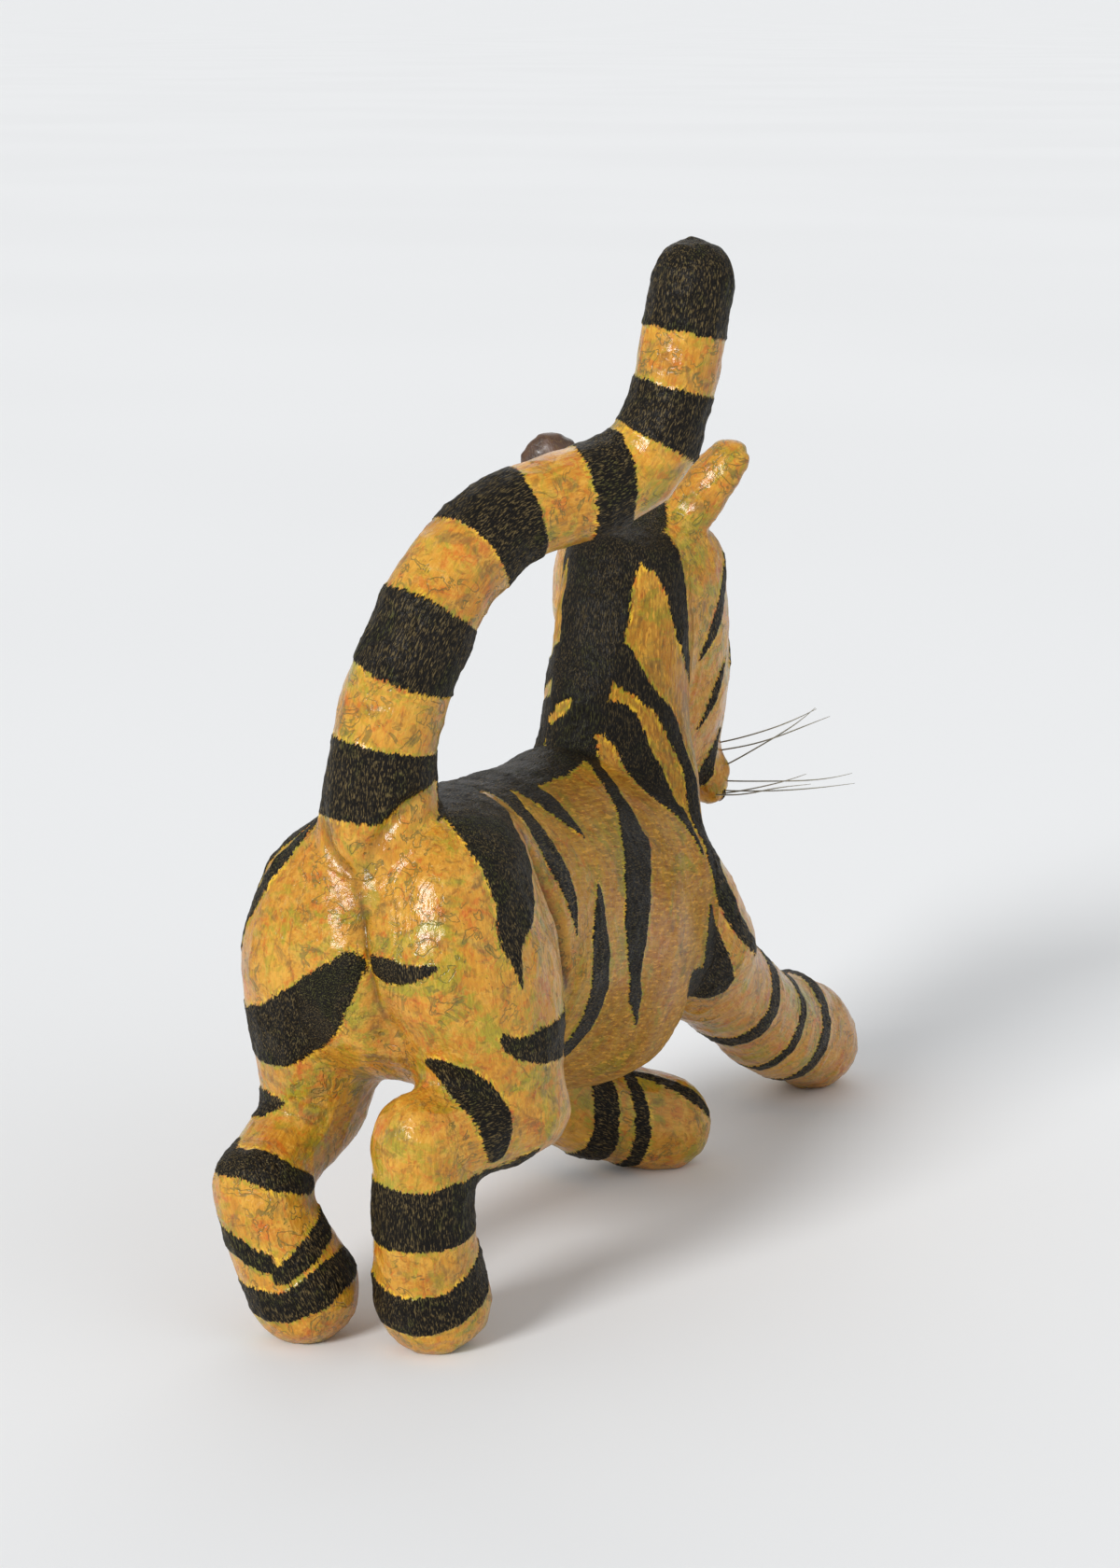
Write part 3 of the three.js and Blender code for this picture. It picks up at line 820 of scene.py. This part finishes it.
def contour_lines(s):
    """Thin wandering lines, as round the wrinkles of pasted paper."""
    steps = s.times(s.noise(s.place(75, (2, 8, 1)), 3, 0.55, 0.6), 5)
    edge = s.math("PINGPONG", steps, 0.5)
    return s.between(edge, 0.11, 0.03)


def ochre_coat(s, grain, wrinkle, lines):
    """The ochre as a whole: duller olive on the flanks, which darkens further towards the belly as painted
    shade, pale on the muzzle, and painted shade in the creases.
    """
    ground = ochre_ground(s, grain)
    # olive over the flanks: their own duller tone, and painted shade towards the belly
    ground = s.mix(s.times(s.attribute("dull_and_painted_shade"), 0.55), ground, OLIVE)
    ground = s.mix(s.times(wrinkle, 0.75), ground, dabs(s, ground))
    ground = s.mix(s.between(wrinkle, 0, 1, 1, 0.45), ground, hair_strokes(s, ground, grain))
    ground = s.mix(s.times(lines, 0.6), ground, MOSS)
    ground = s.mix(s.times(s.attribute("pale"), 0.7), ground, CREAM)
    # painted shade: the creases and hollows are darkened towards umber
    return s.mix(s.times(s.attribute("crease_and_painted_shade"), 0.8), ground, UMBER, "MULTIPLY")


def fringed(s, ground, grain, edge):
    """Broken yellow, red and lime bristle marks along the edge of the black."""
    broken = s.grained(grain, (0.7, 0.7, 1.2), (2, 9, 0), 2, 0.44, 0.56)
    tint = s.mix(patches(s, 42, (8, 0, 0), 0.50, 0.60, 1), YELLOW, RED_ORANGE)
    tint = s.mix(patches(s, 50, (1, 8, 0), 0.42, 0.52, 1), tint, LIME)
    return s.mix(s.times(s.times(s.between(edge, -3.4, -0.6), broken), 0.8), ground, tint)


def flecked_black_and_painted_sheen(s, grain, wrinkle):
    """Black, worn through to the paint below in short flecks, which are partly painted highlight where they
    are stronger.
    """
    flecks = s.between(s.noise(s.moved(grain, (1.6, 1.6, 2.6), (0, 0, 5)), 2, 0.6), 0.50, 0.68)
    tint = s.mix(patches(s, 34, (6, 1, 0), 0.50, 0.62, 0.8), FLECK, MOSS)
    # the flecks brighten the black more on the tail, limbs and rump: partly real flecks, partly painted
    # highlight
    return s.mix(s.times(flecks, s.between(wrinkle, 0, 1, 0.35, 0.7)), BLACK, tint)


def painted_paper():
    """Ochre and black paint under clear varnish, on pasted paper."""
    s = Shader("painted_paper")
    grain, ink, wrinkle = s.attribute("grain", "Vector"), s.attribute("ink"), s.attribute("wrinkle")
    wrinkled = s.between(s.noise(s.place(26, (2, 2, 2)), 2), 0.44, 0.54)
    lines = s.times(s.times(contour_lines(s), wrinkled), wrinkle)
    teeth = s.math("SUBTRACT", s.noise(s.moved(grain, (0.8, 0.8, 1.6), (4, 4, 0)), 3, 0.65), 0.5)
    edge = s.math("ADD", ink, s.times(teeth, 6.5))
    black = s.between(edge, -0.3, 0.3)
    ground = fringed(s, ochre_coat(s, grain, wrinkle, lines), grain, edge)
    rough = s.between(s.noise(s.place(60, (1, 6, 0)), 3), 0.35, 0.65, 0.32, 0.50)
    matt = s.math("MAXIMUM", black, s.times(s.attribute("dull_and_painted_shade"), 0.9))
    s.paint(s.mix(black, ground, flecked_black_and_painted_sheen(s, grain, wrinkle)), s.math("ADD", rough, s.times(matt, 0.12)),
            {"Coat Weight": s.between(matt, 0, 1, 0.62, 0.05), "Coat Roughness": 0.17,
             "Specular IOR Level": 0.12})
    hair = s.times(s.noise(s.moved(grain, (0.8, 0.8, 1.3)), 3, 0.6), s.between(black, 0, 1, 0.55, 1.8))
    height = s.math("ADD", hair, s.times(s.noise(s.place(240), 2, 0.6, 0.5), 0.8))
    height = s.math("SUBTRACT", height, s.times(lines, 0.4))
    s.bump(height, 0.0011, 0.8)
    s.bump(height, 0.0011, 0.35, "Coat Normal")
    return s.material


def dark_paper():
    """The left ear: dark brown paint as painted shade in its hollow, going over to ochre towards its rim."""
    s = Shader("dark_paper")
    grain = s.attribute("grain", "Vector")
    ground = s.mix(s.mottle(60, 3, 0.35, 0.65), DARK_BROWN, colour(92, 58, 32))
    rim = s.math("ADD", s.attribute("pale"), s.times(s.noise(s.place(120), 2), 0.5))
    ground = s.mix(s.between(rim, 0.55, 0.95), ground, ochre_ground(s, grain))
    light = s.grained(grain, (1.5, 1.5, 1.5), (0, 0, 0), 2, 0.56, 0.68, 0.4)
    s.paint(s.mix(light, ground, GREY_BROWN), s.mottle(60, 2, 0.3, 0.7, 0.38, 0.52),
            {"Coat Weight": 0.35, "Coat Roughness": 0.18})
    s.bump(s.noise(s.moved(grain, (1.2, 1.2, 1.2)), 2), 0.0005, 0.7)
    return s.material


def eye_paint():
    """A painted eye: black pupil, streaked amber iris and a dark line round it, under gloss varnish."""
    s = Shader("eye_paint")
    ring = s.math("ADD", s.attribute("ring"), s.mottle(900, 2, 0, 1, -0.03, 0.03))
    streaks = s.between(s.noise(s.place(1400, (3, 1, 0)), 3), 0.3, 0.7)
    amber = s.mix(streaks, colour(222, 160, 36), colour(240, 206, 92))
    iris = s.mix(s.between(ring, 0.34, 0.38), colour(20, 16, 14), amber)
    rimmed = s.mix(s.between(ring, 0.76, 0.82), iris, colour(28, 22, 18))
    s.paint(rimmed, s.mottle(300, 2, 0, 1, 0.14, 0.26), {"Coat Weight": 0.6, "Coat Roughness": 0.06})
    s.bump(s.noise(s.place(800), 2), 0.0002, 0.4)
    return s.material


def nose_paint():
    s = Shader("nose_paint")
    ground = s.mix(s.mottle(160, 3, 0.35, 0.65), colour(74, 34, 30), colour(126, 66, 54))
    s.paint(ground, s.mottle(200, 2, 0.2, 0.8, 0.28, 0.42), {"Coat Weight": 0.46, "Coat Roughness": 0.12})
    s.bump(s.noise(s.place(600), 3), 0.0004, 0.6)
    return s.material


def frame_wire():
    """Galvanised wire with drawn marks and dull spangle."""
    s = Shader("frame_wire")
    ground = s.mix(s.mottle(250, 3, 0.35, 0.65), colour(120, 122, 124), colour(164, 166, 168))
    s.paint(ground, s.mottle(500, 2, 0.3, 0.7, 0.34, 0.52), {"Metallic": 0.85})
    s.bump(s.noise(s.place(1500), 2), 0.0001, 0.5)
    return s.material


def bristle():
    """Stiff grey bristle, a little see-through and paler towards its tip."""
    s = Shader("bristle")
    tip = s.between(s.attribute("ring"), 0, 1)
    ground = s.mix(tip, colour(134, 134, 118), colour(186, 186, 172))
    ground = s.mix(s.mottle(900, 2, 0.4, 0.7, 0, 0.5), ground, colour(62, 60, 54))
    s.paint(ground, s.mottle(1200, 2, 0, 1, 0.25, 0.4), {"Transmission Weight": 0.15})
    s.bump(s.noise(s.place(2500), 2), 0.00005, 0.3)
    return s.material


# ---- the face's small pieces and the whiskers

def tube_mesh(name, line, radii, sides=8):
    """A closed tube along a line of points in metres, with its share of the way along in ring."""
    across, upright = carried_frame(line)
    turn = np.arange(sides) / sides * 2 * math.pi
    rings = [
        centre + radius * (np.cos(turn)[:, None] * a + np.sin(turn)[:, None] * b)
        for centre, radius, a, b in zip(line, radii, across, upright)
    ]
    points = np.vstack([*rings, line[0], line[-1]])
    ring = np.arange(len(line) * sides).reshape(-1, sides)
    turned = np.roll(ring, -1, axis=1)
    faces = np.stack([ring[:-1], turned[:-1], turned[1:], ring[1:]], -1).reshape(-1, 4).tolist()
    faces += [(ring.size, b, a) for a, b in zip(ring[0].tolist(), turned[0].tolist())]
    faces += [(ring.size + 1, a, b) for a, b in zip(ring[-1].tolist(), turned[-1].tolist())]
    mesh = bpy.data.meshes.new(name)
    mesh.from_pydata(points.tolist(), [], faces)
    add_field(mesh, "ring", np.r_[np.repeat(np.linspace(0, 1, len(line)), sides), 0, 1])
    return rounded(name, mesh)


def whisker(node, index):
    """A tapered bristle with a slight wave, between the ends of its CAD tube."""
    pad = middle_of("whisker_pad_right" if "right" in node else "whisker_pad_left")
    points = read(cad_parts[node].data.vertices, "co", 3)
    points = points[np.linalg.norm(points - pad, axis=1).argsort()]
    root, tip = points[:4].mean(0), points[-4:].mean(0)
    share = np.linspace(-0.05, 1, 26)[:, None]
    line = root + (tip - root) * share
    draw = np.random.default_rng(100 + index)
    wave = draw.uniform(-1, 1, 3) * 1.7 * MM
    sag = -2.4 * MM * (1 - (2 * share - 1) ** 2)
    line = line + sag * np.array([0, 0, 1]) + wave * np.sin(share * draw.uniform(5, 8)) * share
    radii = np.interp(share[:, 0], [0, 0.7, 1], BRISTLE_RADII) * MM
    return tube_mesh(f"bristle_{node}", line, radii)


def ball(name, centre, half_sizes, pole, shape):
    """A round piece whose pole points one way. shape moves a point given by its angle from the pole
    and its turn about it; ring holds that angle's share of a quarter turn."""
    pole = np.array(pole) / np.linalg.norm(pole)
    side = np.cross([0, 0, 1], pole)
    side /= np.linalg.norm(side)
    axes = np.array([side, np.cross(pole, side), pole]) * np.array(half_sizes)[:, None] * MM
    body = bmesh.new()
    bmesh.ops.create_uvsphere(body, u_segments=40, v_segments=28, radius=1)
    values = []
    for vertex in body.verts:
        angle = vertex.co.angle((0, 0, 1))
        vertex.co = centre + np.array(shape(angle, math.atan2(vertex.co.y, vertex.co.x))) @ axes
        values.append(angle / (math.pi / 2))
    mesh = bpy.data.meshes.new(name)
    body.to_mesh(mesh)
    body.free()
    add_field(mesh, "ring", np.array(values))
    return rounded(name, mesh)


def round_shape(angle, turn):
    return math.sin(angle) * math.cos(turn), math.sin(angle) * math.sin(turn), math.cos(angle)


def nose_shape(angle, turn):
    """Wide above, narrow below, with a dent for each nostril and a groove down the middle."""
    x, y, z = round_shape(angle, turn)
    x *= 0.78 + 0.30 * y
    nostril = sum(
        math.exp(-(((x - side) / 0.24) ** 2 + ((y + 0.12) / 0.26) ** 2)) for side in (-0.42, 0.42))
    groove = math.exp(-(x / 0.10) ** 2) * (1 if y < 0.2 else 0.3)
    if z > 0:
        z -= 0.42 * nostril * z + 0.14 * groove * z
    return x, y, z


# ---- putting it together

def put_on(piece, node, material):
    piece.data.materials.append(material)
    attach(piece, "root")
    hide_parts(node)


def paint_fields(skin, nodes, measures, ink, painted_hollow_shade):
    """What the paint's materials read at each point."""
    points = skin.points
    forward, _, up = points.T
    flank = is_on(nodes, "chest_shell", "rump_shell", "neck_shell")
    back_of = smoothstep(60, 110, forward) * flank
    dull_and_painted_shade = np.clip(back_of * (0.75 + 0.5 * noise(points, 40, seed=12)), 0, 1)
    # painted shade: the flanks go duller and darker towards the belly, where less light falls
    belly_shade = smoothstep(150, 110, up) * flank
    dull_and_painted_shade = np.maximum(dull_and_painted_shade, belly_shade)
    wrinkle = np.where(is_on(nodes, "chest_shell", "neck_shell"), 0.25, 1.0)
    pale = np.zeros(len(points))
    for place, radius in (((420, -5, 214), 15), ((420, 21, 214), 15), ((390, 10, 194), 20)):
        distance = np.linalg.norm(points - place, axis=1)
        pale = np.maximum(pale, smoothstep(radius, radius * 0.5, distance))
    pale = np.where(is_on(nodes, "ear_left_shell"), smoothstep(386, 372, up), pale)
    # the crease field is painted shade in the creases and hollows
    return {"grain": measures * (1, 1, 0.14), "ink": ink, "dull_and_painted_shade": dull_and_painted_shade, "wrinkle": wrinkle, "pale": pale,
            "crease_and_painted_shade": painted_hollow_shade}


def modelled_skin():
    """The whole skin before it is painted, the painted shade of its creases, its surface and a way to find
    the shell below.
    """
    shells, nearest = shells_together()
    even = largest_body(evaluated(shells, "REMESH", mode="VOXEL", voxel_size=REMESH * MM))
    coarse = Skin(even)
    model_shape(coarse, nearest(coarse.points))
    skin = Skin(evaluated(coarse.mesh(), "SUBSURF", levels=FINE_LEVELS, render_levels=FINE_LEVELS))
    surface = coarse.surface()
    shade = crease_and_painted_shade(skin, surface)
    model_face(skin)
    return skin, shade, surface, nearest


def make_skin():
    skin, shade, surface, nearest = modelled_skin()
    nodes = nearest(skin.points)
    measures = np.empty_like(skin.points)
    for axis in AXES:
        chosen = is_along(nodes, axis)
        measures[chosen] = limb_measure(skin.points[chosen], axis)
    ink = ink_on(skin.points, nodes, measures, surface)
    curved = ((skin.mean_round(skin.points) - skin.points) * skin.normals()).sum(1)[:, None]
    for _ in range(6):
        curved = skin.mean_round(curved)
    # painted shade in the hollows and creases: darker where the skin curves inward
    painted_hollow_shade = np.maximum(smoothstep(0.03, 0.16, curved[:, 0]), shade)
    fields = paint_fields(skin, nodes, measures, ink, painted_hollow_shade)
    skin.push(relief(skin.points, ink, measures, nodes))
    skin.points[:, 2] = np.maximum(skin.points[:, 2], 0)
    across = neighbours_of_faces(skin.faces, len(skin.points))
    labels = nearest(skin.points[skin.faces].mean(1))
    labels = join_islands(settle(labels, across, 8), across)
    normals = skin.normals()
    paint, dark_as_painted_shade = painted_paper(), dark_paper()
    for index, node in enumerate(NODES):
        piece = closed_piece(f"skin_{node}", skin.points, skin.faces[labels == index], normals, fields)
        # the left ear is painted dark brown as painted shade in its hollow
        if node == "ear_left_shell":
            put_on(piece, node, dark_as_painted_shade)
        else:
            put_on(piece, node, paint)


def make_face():
    eye_material, nose_material = eye_paint(), nose_paint()
    pitch = math.radians(32)
    for side, outward in (("right", -0.55), ("left", 0.55)):
        pole = turned_to_row(np.array([math.cos(pitch), outward + 0.1, math.sin(pitch)]))
        eye = ball(f"painted_eye_{side}", middle_of(f"eye_{side}"), EYE_HALF_SIZES, pole, round_shape)
        put_on(eye, f"eye_{side}", eye_material)
    centre = middle_of("nose") + (0, NOSE_SET_BACK * MM, 0)
    pole = turned_to_row(np.array([0.86, 0.09, 0.50]))
    nose = ball("modelled_nose", centre, NOSE_HALF_SIZES, pole, nose_shape)
    put_on(nose, "nose", nose_material)


def make_whiskers():
    material = bristle()
    names = sorted(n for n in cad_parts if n.startswith(("whisker_right", "whisker_left")))
    for index, node in enumerate(names):
        put_on(whisker(node, index), node, material)


def dress_frame():
    wire = frame_wire()
    for name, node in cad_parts.items():
        if "wire" in name or "hoop" in name:
            node.data.materials.clear()
            node.data.materials.append(wire)


# ---- floor, light and camera

def make_stage():
    """A wide pale floor."""
    mesh = bpy.data.meshes.new("floor")
    corners = [(x * FLOOR_REACH, y * FLOOR_REACH, 0) for x, y in ((-1, -1), (1, -1), (1, 1), (-1, 1))]
    mesh.from_pydata(corners, [], [(0, 1, 2, 3)])
    floor = placed("floor", mesh)
    s = Shader("floor")
    tint = s.mix(s.mottle(0.6, 1, 0.3, 0.7), colour(236, 237, 238), colour(238, 239, 240))
    s.paint(tint, 0.95, {"Specular IOR Level": 0.1})
    floor.data.materials.append(s.material)


def aim(thing, place, target):
    thing.location = place
    thing.rotation_euler = (Vector(target) - Vector(place)).to_track_quat("-Z", "Y").to_euler()


def soft_sun(name, toward, strength, spread):
    """A far soft light from one direction."""
    data = bpy.data.lights.new(name, "SUN")
    data.energy = strength
    data.angle = math.radians(spread)
    aim(placed(name, data), toward, (0, 0, 0))


def make_light():
    soft_sun("key", (0.3, 2.2, 1.15), 2.5, 18)
    soft_sun("side", (-2.0, 0.2, 1.2), 0.35, 60)
    soft_sun("front", (0.8, -2.0, 1.4), 0.5, 50)
    world = bpy.data.worlds.new("studio")
    bpy.context.scene.world = world
    world.use_nodes = True
    sky = world.node_tree.nodes["Background"].inputs
    sky["Color"].default_value = (0.93, 0.94, 0.95, 1)
    sky["Strength"].default_value = 0.5


def make_camera():
    data = bpy.data.cameras.new("camera")
    data.lens = 85
    data.sensor_width = 36
    data.clip_end = 2 * FLOOR_REACH
    camera = placed("camera", data)
    aim(camera, (-0.8058, 1.7952, 0.655), (-0.0203, 0.1112, 0.26))
    bpy.context.scene.camera = camera


make_skin()
make_face()
make_whiskers()
dress_frame()
make_stage()
make_light()
make_camera()
bpy.context.scene.view_settings.view_transform = "Standard"
